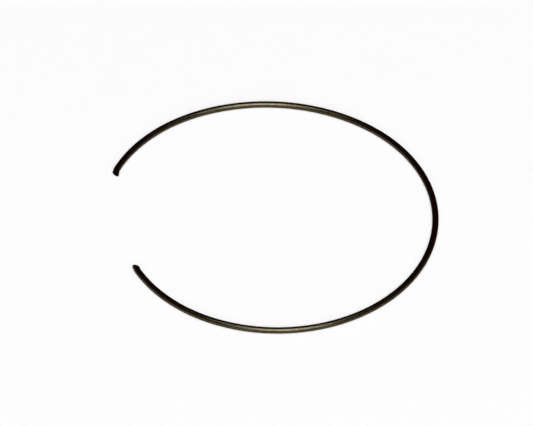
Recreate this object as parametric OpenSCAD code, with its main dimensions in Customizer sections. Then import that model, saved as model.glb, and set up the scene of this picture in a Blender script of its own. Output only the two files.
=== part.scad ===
// Snap ring of round spring wire, wound as one open turn and cut off plain.
// It lies flat in the XY plane, with its gap towards -X. The origin is the
// centre of the main arc, at half the wire's height. Seen from above with +X
// to the right, the back arm is the one towards +Y, the front arm towards -Y.
// The ring isn't a true circle: past the main arc the back arm stands open
// and then draws in again, and the front arm is wound a little tighter. The
// cutter has bent both tips inwards and left them slanted.

/* [Wire] */
// Diameter of the spring wire
wire_d = 2; // [1.6:0.1:3]

/* [Main arc] */
// Radius of the main arc, to the middle of the wire
main_r = 50; // [45:0.5:60]
// Angle from +X to where the back arm leaves the main arc
main_back_angle = 54.5; // [40:0.5:60]
// Angle from +X to where the front arm leaves the main arc
main_front_angle = 113.5; // [100:0.5:118]

/* [Back arm] */
// Radius of the back arm where it stands open
open_r = 55; // [50:0.5:60]
// Angle that the open stretch turns through
open_angle = 61; // [50:0.5:65]
// Radius of the back arm where it draws in again
draw_in_r = 49; // [44:0.5:54]
// Angle that the drawn-in stretch turns through
draw_in_angle = 40; // [30:0.5:42]
// Radius of the bent tip of the back arm
back_tip_r = 5; // [3:0.5:12]
// Angle that the bent tip of the back arm turns through
back_tip_angle = 18; // [6:1:24]

/* [Front arm] */
// Radius of the front arm, wound tighter than the main arc
tight_r = 48; // [44:0.5:52]
// Angle that the front arm turns through
tight_angle = 39; // [30:0.5:44]
// Radius of the bent tip of the front arm
front_tip_r = 3; // [3:0.5:12]
// Angle that the bent tip of the front arm turns through
front_tip_angle = 13; // [6:1:24]

/* [Cut ends] */
// Slant of both cuts, seen from above
cut_angle = 32; // [5:1:40]
// Straight length of wire before each cut, on its shorter side
cut_straight = 0.4; // [0.4:0.1:2]
// Radius that the sharp edge of each cut is worn to
cut_rounding = 0.3; // [0.1:0.05:0.4]

/* [Hidden] */
steel_colour = [0.17, 0.15, 0.12];
wire_r = wire_d / 2;
// Each arm's bends in order, as [radius, turn]
back_bends = [[open_r, open_angle], [draw_in_r, draw_in_angle], [back_tip_r, back_tip_angle]];
front_bends = [[tight_r, tight_angle], [front_tip_r, front_tip_angle]];
// A stretch of wire starts this far inside the one before it
lap = 0.1;
// It is also slimmer by this much, too little to see, so that no two surfaces
// of the wire run into each other
skin = 0.005;
// Facets in a full turn of a bend, and round the wire
bend_fn = 240;
section_fn = 48;

// One bend of the wire. It starts at the origin, heads along +Y and turns
// towards -X. The lead is an angle that it starts early by.
module bend(bend_r, turn, section_r, lead = 0) {
    translate([-bend_r, 0, 0])
        rotate_extrude(start = -lead, angle = turn + lead, $fn = bend_fn)
            translate([bend_r, 0])
                circle(r = section_r, $fn = section_fn);
}

// A straight rod from the origin along +Y, with its far rim rounded.
module rod(section_r, length) {
    rotate([-90, 0, 0])
        rotate_extrude($fn = section_fn) {
            square([section_r, length - cut_rounding]);
            square([section_r - cut_rounding, length]);
            translate([section_r - cut_rounding, length - cut_rounding])
                circle(r = cut_rounding, $fn = section_fn);
        }
}

// The cut end of the wire, from the origin along +Y. The shear passes through
// at a slant, which leaves the side towards -X longer if the slant is
// positive. The sharp edge of the longer side is worn round.
module cut_end(section_r, slant) {
    half_reach = section_r * tan(abs(slant));
    block = 10 * wire_d;
    intersection() {
        translate([0, -lap, 0])
            rod(section_r, lap + cut_straight + 2 * half_reach);
        translate([0, cut_straight + half_reach, 0])
            rotate(-slant)
                translate([-block / 2, -block, -block / 2])
                    cube(block);
    }
}

// An arm of the ring, from the origin along +Y: each bend goes on from the
// end of the one before it, and the last one ends in the cut.
module arm(bends, slant, section_r) {
    if (len(bends) == 0) {
        cut_end(section_r, slant);
    } else {
        bend_r = bends[0][0];
        turn = bends[0][1];
        further_bends = [for (i = [1:1:len(bends) - 1]) bends[i]];
        bend(bend_r, turn, section_r, lead = lap / bend_r * 180 / PI);
        translate([-bend_r, 0, 0])
            rotate(turn)
                translate([bend_r, 0, 0])
                    arm(further_bends, slant, section_r - skin);
    }
}

// Puts an arm where the main arc ends, at this angle from +X.
module at_main_arc(turn) {
    rotate(turn)
        translate([main_r, 0, 0])
            children();
}

module snap_ring() {
    color(steel_colour) {
        at_main_arc(-main_front_angle)
            bend(main_r, main_front_angle + main_back_angle, wire_r);
        at_main_arc(main_back_angle)
            arm(back_bends, cut_angle, wire_r - skin);
        mirror([0, 1, 0])
            at_main_arc(main_front_angle)
                arm(front_bends, -cut_angle, wire_r - skin);
    }
}

snap_ring();
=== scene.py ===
import math

import bmesh
import bpy
from mathutils import Matrix, Vector, noise


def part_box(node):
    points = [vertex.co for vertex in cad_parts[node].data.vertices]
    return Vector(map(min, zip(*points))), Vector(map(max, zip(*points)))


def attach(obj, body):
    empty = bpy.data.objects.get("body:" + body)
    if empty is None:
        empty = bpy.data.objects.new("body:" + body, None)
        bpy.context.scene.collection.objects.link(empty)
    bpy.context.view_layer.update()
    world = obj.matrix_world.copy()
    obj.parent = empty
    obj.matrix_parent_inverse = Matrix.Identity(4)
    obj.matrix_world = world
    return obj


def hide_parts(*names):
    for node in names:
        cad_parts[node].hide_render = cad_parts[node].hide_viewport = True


# Looks of an open snap ring of round spring wire, drawn, wound, cut off,
# phosphated and oiled. Lengths are in metres, in the frame of the packed
# model: the ring lies flat in the XY plane with its gap towards -X, and the
# origin is the centre of its main arc.

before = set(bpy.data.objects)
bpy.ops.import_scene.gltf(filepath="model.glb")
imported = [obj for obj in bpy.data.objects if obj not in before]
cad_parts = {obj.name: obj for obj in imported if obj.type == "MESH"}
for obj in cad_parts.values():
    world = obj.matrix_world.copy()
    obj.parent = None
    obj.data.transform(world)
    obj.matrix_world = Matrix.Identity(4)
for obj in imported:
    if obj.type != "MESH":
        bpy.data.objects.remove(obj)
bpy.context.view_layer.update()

MM = 0.001
UP = Vector((0, 0, 1))

# The wire and the main arc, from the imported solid. A bend's radius goes to
# the middle of the wire.
ring_low, ring_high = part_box("snap_ring")
WIRE_R = (ring_high.z - ring_low.z) / 2
MAIN_R = ring_high.x - WIRE_R
# The main arc ends this many degrees from +X, at the back and at the front
MAIN_BACK_ANGLE = 54.5
MAIN_FRONT_ANGLE = 113.5

# Each arm's further bends, as radius and degrees. The back arm stands open,
# draws in again and ends in a bent tip. The front arm is wound tighter and
# ends in a bent tip too.
BACK_BENDS = [(1.10 * MAIN_R, 61), (0.98 * MAIN_R, 40), (5 * WIRE_R, 18)]
FRONT_BENDS = [(0.96 * MAIN_R, 39), (3 * WIRE_R, 13)]
# The way the wire is wound on from where the main arc starts at the front.
# Seen from above, it goes against the clock to the back end, and with it to
# the front end.
TO_BACK = 1
TO_FRONT = -1

# Both cuts: the slant of the shear, and how far the blade has pushed the
# wire out on the ring's outer side
CUT_ANGLE = math.radians(32)
CUT_BURR = 0.15 * MM
# Each cut: the straight wire left on its shorter side, and how far its rim
# is worn round on the shorter and on the longer side
BACK_CUT = (0.4 * MM, 0.08 * MM, 0.34 * MM)
FRONT_CUT = (0.55 * MM, 0.3 * MM, 0.34 * MM)
# The powers by which the burr and the longer side's wear fade round the wire
BURR_FADE = 2
WEAR_FADE = 3
# The side of the ring on which a cut leaves the wire longer
OUTER_SIDE = 1
INNER_SIDE = -1

# The finish tells a cut from the drawn surface by how far a point lies from
# the middle of the straight wire, as a share of the wire's radius. That falls
# from 1 on the drawn surface to 0 in the middle of a sheared face, and is
# this where a worn rim starts and where it ends at the face.
RIM_START = 0.92
RIM_END = 0.75
# The black of the face comes up over the rim, and fades out between these. On the face it is the
# coat's own black. Over the rim it is painted shade, which dims the rim's reflection of the floor.
BLACK_FULL = 0.85
BLACK_ENDS = 0.98

# How finely the wire is drawn: the sides round it, and the steps along it,
# which are shorter where it is bent tightly
SECTION_SIDES = 64
STEP_LENGTH = 0.6 * MM
TIP_STEP_LENGTH = 0.15 * MM
TIGHT_BEND = 10 * WIRE_R
# Where a cut has its rows of vertices: shares of the way along the last of
# the wall, of the way round the rim, and of the way out from the face's middle
CUT_ROWS = {"wall": [0.5, 1], "rim": [0.2, 0.4, 0.6, 0.8, 1], "face": [0.75, 0.5, 0.25]}
# Vertices closer together than this are one
MERGE_DISTANCE = 0.001 * MM
# The drawn surface is uneven by this much, in swells of this length
SWELL = 0.003 * MM
SWELL_LENGTH = 1.6 * MM

# The camera: its height over the horizon, its turn about its own axis, its
# distance, the width that it takes in, and where it aims
CAMERA_ELEVATION = math.radians(44.7)
CAMERA_ROLL = math.radians(0.63)
CAMERA_DISTANCE = 1
VIEW_WIDTH = 167.5 * MM
CAMERA_AIM = Vector((-3.125 * MM, 2.4 * MM, 0))

# The lamps: their height over the horizon, their turn from the camera's side
# towards +X, their distance, and their cool daylight
LAMP_ELEVATION = math.radians(54)
LAMP_AZIMUTH = math.radians(6.5)
LAMP_DISTANCE = 12
DAYLIGHT = "#f2f8ff"

# White as the photograph shows it, the floor's own matt colour, and how much
# of the white is added to that where the camera or a glossy surface sees it
WHITE = "#fefcfd"
FLOOR_COLOUR = "#dddbd7"
FLOOR_TOP_UP = 0.27
# How far the floor goes on from the ring's centre, to each side
FLOOR_REACH = 4

# Where a point of the wire lies on the straight wire before winding, in
# millimetres: along the wire, outwards and up
STRAIGHT = "straight_wire"

# A mix node gives its sockets the same names for every kind of value, so the
# ones for colour go by number
COLOUR_A = 6
COLOUR_B = 7
MIXED_COLOUR = 2


def linear(hex_colour):
    """An sRGB hex colour as the linear colour that a shader takes, by the
    formula of the sRGB standard."""
    shares = [int(hex_colour[i:i + 2], 16) / 255 for i in (1, 3, 5)]
    return [s / 12.92 if s <= 0.04045 else ((s + 0.055) / 1.055) ** 2.4 for s in shares] + [1]


def add_node(tree, kind, settings, inputs):
    """Adds a node. An input is a value to set, or another node's output to link."""
    node = tree.nodes.new(kind)
    for name, value in settings.items():
        setattr(node, name, value)
    for name, value in inputs.items():
        if isinstance(value, bpy.types.NodeSocket):
            tree.links.new(value, node.inputs[name])
        else:
            node.inputs[name].default_value = value
    return node


def empty_material(name):
    """A material with nothing in it."""
    material = bpy.data.materials.new(name)
    material.use_nodes = True
    material.node_tree.nodes.clear()
    return material


def phosphated_wire():
    """Cold-drawn spring steel with a thin dark phosphate coat under oil. It
    looks almost black, and shows a soft warm olive glint where it faces the
    light, broken up by the coat's grain and by faint lines along the wire.
    The sheared faces and their worn rims are rough. The faces hold more of the coat and look black,
    and that black is carried up over the rims as painted shade, which dims the rims' reflections."""
    # In millimetres. Real draw lines are about 0.02 mm apart and the coat's
    # crystals about 0.01 mm across. Both are drawn coarser, so that they show.
    line_spacing = 0.1
    line_length = 4
    line_depth = 0.026
    grain_width = 0.6
    grain_length = 0.8
    grain_depth = 0.02
    # The oil lies thicker and thinner in patches of this length, on a noise
    # whose values mostly lie between the two shares
    patch_length = 7
    patch_low = 0.3
    patch_high = 0.7
    thick_oil_roughness = 0.19
    thin_oil_roughness = 0.27
    sheared_roughness = 0.5
    material = empty_material("phosphated_wire")
    tree = material.node_tree
    place = add_node(tree, "ShaderNodeAttribute", {"attribute_name": STRAIGHT}, {})
    line_place = add_node(tree, "ShaderNodeMapping", {}, {
        "Vector": place.outputs["Vector"],
        "Scale": (1 / line_length, 1 / line_spacing, 1 / line_spacing),
    })
    lines = add_node(tree, "ShaderNodeTexNoise", {}, {
        "Vector": line_place.outputs["Vector"], "Scale": 1, "Detail": 2, "Roughness": 0.5,
    })
    grain_place = add_node(tree, "ShaderNodeMapping", {}, {
        "Vector": place.outputs["Vector"],
        "Scale": (1 / grain_length, 1 / grain_width, 1 / grain_width),
    })
    grain = add_node(tree, "ShaderNodeTexNoise", {}, {
        "Vector": grain_place.outputs["Vector"], "Scale": 1, "Detail": 3, "Roughness": 0.6,
    })
    patches = add_node(tree, "ShaderNodeTexNoise", {}, {
        "Vector": place.outputs["Vector"], "Scale": 1 / patch_length, "Detail": 2, "Roughness": 0.5,
    })
    across = add_node(tree, "ShaderNodeMapping", {}, {
        "Vector": place.outputs["Vector"], "Scale": (0, MM / WIRE_R, MM / WIRE_R),
    })
    from_middle = add_node(tree, "ShaderNodeVectorMath", {"operation": "LENGTH"}, {
        0: across.outputs["Vector"],
    })
    # Black on the sheared faces. Over their worn rims the same black is painted shade, which dims
    # the rims' reflection of the floor.
    sheared_face_and_rim_shade = add_node(tree, "ShaderNodeMapRange", {}, {
        "Value": from_middle.outputs["Value"], "From Min": BLACK_ENDS, "From Max": BLACK_FULL,
    })
    drawn_colour = add_node(tree, "ShaderNodeMix", {"data_type": "RGBA"}, {
        "Factor": grain.outputs["Fac"],
        COLOUR_A: linear("#000000"),
        COLOUR_B: linear("#6b624b"),
    })
    # The sheared faces' own black, which is painted shade where it covers the worn rims
    colour = add_node(tree, "ShaderNodeMix", {"data_type": "RGBA"}, {
        "Factor": sheared_face_and_rim_shade.outputs["Result"],
        COLOUR_A: drawn_colour.outputs[MIXED_COLOUR],
        COLOUR_B: linear("#171411"),
    })
    drawn_roughness = add_node(tree, "ShaderNodeMapRange", {}, {
        "Value": patches.outputs["Fac"], "From Min": patch_low, "From Max": patch_high,
        "To Min": thick_oil_roughness, "To Max": thin_oil_roughness,
    })
    roughness = add_node(tree, "ShaderNodeMix", {}, {
        "Factor": sheared_face_and_rim_shade.outputs["Result"],
        "A": drawn_roughness.outputs["Result"],
        "B": sheared_roughness,
    })
    line_bump = add_node(tree, "ShaderNodeBump", {}, {
        "Height": lines.outputs["Fac"], "Distance": line_depth * MM,
    })
    grain_bump = add_node(tree, "ShaderNodeBump", {}, {
        "Height": grain.outputs["Fac"], "Distance": grain_depth * MM,
        "Normal": line_bump.outputs["Normal"],
    })
    # The dark tint dims the coat's shine where it is seen at a low angle
    steel = add_node(tree, "ShaderNodeBsdfPrincipled", {}, {
        "Base Color": colour.outputs[MIXED_COLOUR],
        "Metallic": 1,
        "Roughness": roughness.outputs["Result"],
        "Specular Tint": linear("#302e2b"),
        "Normal": grain_bump.outputs["Normal"],
    })
    add_node(tree, "ShaderNodeOutputMaterial", {}, {"Surface": steel.outputs["BSDF"]})
    return material


def pale_floor():
    """A matt white table top. Its matt colour keeps the ring's shadow. The
    camera sees it topped up to white, directly, as a reflection in glossy
    surfaces and through clear ones, and the top-up lights no matt surface."""
    material = empty_material("pale_floor")
    tree = material.node_tree
    path = add_node(tree, "ShaderNodeLightPath", {}, {})
    seen_or_mirrored = add_node(tree, "ShaderNodeMath", {"operation": "MAXIMUM"}, {
        0: path.outputs["Is Camera Ray"], 1: path.outputs["Is Glossy Ray"],
    })
    seen = add_node(tree, "ShaderNodeMath", {"operation": "MAXIMUM"}, {
        0: seen_or_mirrored.outputs["Value"], 1: path.outputs["Is Transmission Ray"],
    })
    top_up = add_node(tree, "ShaderNodeMath", {"operation": "MULTIPLY"}, {
        0: seen.outputs["Value"], 1: FLOOR_TOP_UP,
    })
    matt = add_node(tree, "ShaderNodeBsdfDiffuse", {}, {"Color": linear(FLOOR_COLOUR)})
    white = add_node(tree, "ShaderNodeEmission", {}, {
        "Color": linear(WHITE), "Strength": top_up.outputs["Value"],
    })
    both = add_node(tree, "ShaderNodeAddShader", {}, {
        0: matt.outputs["BSDF"], 1: white.outputs["Emission"],
    })
    add_node(tree, "ShaderNodeOutputMaterial", {}, {"Surface": both.outputs["Shader"]})
    return material


def put_in_scene(name, data):
    """Puts a mesh, a lamp or a camera in the scene, as an object."""
    thing = bpy.data.objects.new(name, data)
    bpy.context.scene.collection.objects.link(thing)
    return thing


def finished(name, bm):
    """Puts a finished bmesh in the scene."""
    mesh = bpy.data.meshes.new(name)
    bm.to_mesh(mesh)
    bm.free()
    return put_in_scene(name, mesh)


def verts(geometry):
    """The vertices among the geometry."""
    return [part for part in geometry if isinstance(part, bmesh.types.BMVert)]


def edges(geometry):
    """The edges among the geometry."""
    return [part for part in geometry if isinstance(part, bmesh.types.BMEdge)]


def first_section(bm, straight):
    """The wire's section where the main arc starts, at the front."""
    section = bmesh.ops.create_circle(bm, segments=SECTION_SIDES, radius=WIRE_R)["verts"]
    for vert in section:
        vert[straight] = (0, vert.co.x / MM, vert.co.y / MM)
    stand_up = Matrix.Rotation(math.radians(90), 4, "X")
    put_out = Matrix.Translation((MAIN_R, 0, 0))
    turn_to_front = Matrix.Rotation(math.radians(-MAIN_FRONT_ANGLE), 4, "Z")
    bmesh.ops.transform(bm, matrix=turn_to_front @ put_out @ stand_up, verts=section)
    return section + list(bm.edges)


def wind(bm, straight, section, place, bends, way):
    """Winds the wire on from a section. The place is its middle, and the
    direction outwards there. Gives the last section and its place."""
    middle, outwards = place
    for radius, degrees in bends:
        centre = middle - outwards * radius
        length = radius * math.radians(degrees)
        step_length = STEP_LENGTH if radius > TIGHT_BEND else TIP_STEP_LENGTH
        steps = math.ceil(length / step_length)
        for _ in range(steps):
            spun = bmesh.ops.spin(
                bm, geom=section, cent=centre, axis=UP,
                angle=way * math.radians(degrees) / steps, steps=1,
            )
            section = verts(spun["geom_last"]) + edges(spun["geom_last"])
            for vert in verts(section):
                vert[straight].x += way * length / steps / MM
        outwards = Matrix.Rotation(way * math.radians(degrees), 3, "Z") @ outwards
        middle = centre + outwards * radius
    return section, (middle, outwards)


def cut_off(bm, straight, section, place, way, longer_side, cut):
    """Cuts the wire off at a slant, with a worn rim, and closes it."""
    middle, outwards = place
    straight_left, short_side_wear, long_side_wear = cut
    ahead = way * UP.cross(outwards)
    # How far the slant carries the face's edge past its middle, the heart
    reach = WIRE_R * math.tan(CUT_ANGLE)
    heart = middle + ahead * (straight_left + reach)
    # Each row's vertices find the ones that they start from by their place on
    # the section
    start = {tuple(vert[straight])[1:]: vert.co.copy() for vert in verts(section)}
    start_length = verts(section)[0][straight].x
    shares_from_middle = []
    for part, shares in CUT_ROWS.items():
        for share in shares:
            grown = bmesh.ops.extrude_edge_only(bm, edges=edges(section))["geom"]
            section = verts(grown) + edges(grown)
            for vert in verts(section):
                on_section = tuple(vert[straight])[1:]
                # From -1 on the ring's inner side to 1 on its outer side, and
                # from -1 on the cut's shorter side to 1 on its longer side
                outer = on_section[0] * MM / WIRE_R
                longer = longer_side * outer
                corner = start[on_section] + ahead * (straight_left + reach * (1 + longer))
                corner += outwards * (CUT_BURR * ((1 + outer) / 2) ** BURR_FADE)
                extra_wear = (long_side_wear - short_side_wear) * ((1 + longer) / 2) ** WEAR_FADE
                worn = short_side_wear + extra_wear
                wall_end = corner - ahead * worn
                face_start = corner + (heart - corner).normalized() * worn
                if part == "wall":
                    vert.co = start[on_section].lerp(wall_end, share)
                    from_middle = 1 + (RIM_START - 1) * share
                elif part == "rim":
                    towards_face = corner.lerp(face_start, share)
                    vert.co = wall_end.lerp(corner, share).lerp(towards_face, share)
                    from_middle = RIM_START + (RIM_END - RIM_START) * share
                else:
                    vert.co = heart.lerp(face_start, share)
                    from_middle = RIM_END * share
                further = (vert.co - start[on_section]).dot(ahead)
                vert[straight].x = start_length + way * further / MM
                shares_from_middle.append((vert, from_middle))
    # That place is drawn in towards the middle only now, because every row
    # takes it over from the row before
    for vert, from_middle in shares_from_middle:
        vert[straight].y *= from_middle
        vert[straight].z *= from_middle
    bmesh.ops.contextual_create(bm, geom=edges(section))


def uneven(bm, straight):
    """Gives the drawn surface its slight swells, which break up the glint."""
    bm.normal_update()
    for vert in bm.verts:
        swell = noise.noise(vert[straight] * (MM / SWELL_LENGTH))
        vert.co += vert.normal * (swell * SWELL)


def ring_wire():
    """The whole ring, one length of wire."""
    bm = bmesh.new()
    straight = bm.verts.layers.float_vector.new(STRAIGHT)
    front = first_section(bm, straight)
    turned = Matrix.Rotation(math.radians(-MAIN_FRONT_ANGLE), 3, "Z")
    outwards = turned @ Vector((1, 0, 0))
    place = (outwards * MAIN_R, outwards)
    main_arc = [(MAIN_R, MAIN_FRONT_ANGLE + MAIN_BACK_ANGLE)]
    section, end = wind(bm, straight, front, place, main_arc + BACK_BENDS, TO_BACK)
    cut_off(bm, straight, section, end, TO_BACK, INNER_SIDE, BACK_CUT)
    section, end = wind(bm, straight, front, place, FRONT_BENDS, TO_FRONT)
    cut_off(bm, straight, section, end, TO_FRONT, OUTER_SIDE, FRONT_CUT)
    bmesh.ops.remove_doubles(bm, verts=bm.verts, dist=MERGE_DISTANCE)
    bmesh.ops.recalc_face_normals(bm, faces=bm.faces)
    uneven(bm, straight)
    piece = finished("ring_wire", bm)
    piece.data.shade_smooth()
    return piece


def floor():
    """The plain floor that the ring lies on."""
    bm = bmesh.new()
    bmesh.ops.create_grid(bm, x_segments=1, y_segments=1, size=FLOOR_REACH)
    bmesh.ops.translate(bm, verts=bm.verts, vec=(0, 0, -WIRE_R))
    piece = finished("floor", bm)
    piece.data.materials.append(pale_floor())


def seen_from(elevation):
    """The tilt of what looks at the ring from this height over the horizon."""
    return Matrix.Rotation(math.radians(90) - elevation, 4, "X")


def softbox(name, width, height, watts_per_square_metre):
    """A soft lamp on the camera's side that faces the ring. The camera doesn't
    see it."""
    lamp = bpy.data.lights.new(name, "AREA")
    lamp.shape = "RECTANGLE"
    lamp.size = width
    lamp.size_y = height
    lamp.energy = watts_per_square_metre * width * height
    lamp.color = linear(DAYLIGHT)[:3]
    stand = put_in_scene(name, lamp)
    turn = Matrix.Rotation(LAMP_AZIMUTH, 4, "Z")
    back = Matrix.Translation((0, 0, LAMP_DISTANCE))
    stand.matrix_world = turn @ seen_from(LAMP_ELEVATION) @ back
    stand.visible_camera = False


def room():
    """A dim warm room over a white sweep, which goes on past the floor's edge
    to a little over the horizon."""
    # How steeply a line of sight rises where the white begins to fade, and
    # where the room's own colour is full
    white_fades = 0.005
    room_full = 0.03
    world = bpy.data.worlds.new("room")
    world.use_nodes = True
    tree = world.node_tree
    tree.nodes.clear()
    direction = add_node(tree, "ShaderNodeTexCoord", {}, {})
    parts = add_node(tree, "ShaderNodeSeparateXYZ", {}, {"Vector": direction.outputs["Generated"]})
    above = add_node(tree, "ShaderNodeMapRange", {"interpolation_type": "SMOOTHSTEP"}, {
        "Value": parts.outputs["Z"], "From Min": white_fades, "From Max": room_full,
    })
    colour = add_node(tree, "ShaderNodeMix", {"data_type": "RGBA"}, {
        "Factor": above.outputs["Result"],
        COLOUR_A: linear(WHITE),
        COLOUR_B: linear("#45200c"),
    })
    background = add_node(tree, "ShaderNodeBackground", {}, {
        "Color": colour.outputs[MIXED_COLOUR],
    })
    add_node(tree, "ShaderNodeOutputWorld", {}, {"Surface": background.outputs["Background"]})
    bpy.context.scene.world = world


def camera():
    """Looks down on the ring from the front, as a very long lens does: the
    photograph shows no perspective."""
    lens = bpy.data.cameras.new("camera")
    lens.type = "ORTHO"
    lens.ortho_scale = VIEW_WIDTH
    stand = put_in_scene("camera", lens)
    aim = Matrix.Translation(CAMERA_AIM)
    roll = Matrix.Rotation(CAMERA_ROLL, 4, "Z")
    back = Matrix.Translation((0, 0, CAMERA_DISTANCE))
    stand.matrix_world = aim @ seen_from(CAMERA_ELEVATION) @ roll @ back
    bpy.context.scene.camera = stand


wire = ring_wire()
wire.data.materials.append(phosphated_wire())
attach(wire, "root")
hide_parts("snap_ring")

floor()
room()
# The small bright lamp makes the glints' cores, and the large dim one makes
# the soft light round them
softbox("key_softbox", width=5, height=9.2, watts_per_square_metre=28.8)
softbox("bounce_sheet", width=12, height=19.2, watts_per_square_metre=5.6)
camera()
bpy.context.scene.view_settings.view_transform = "Standard"
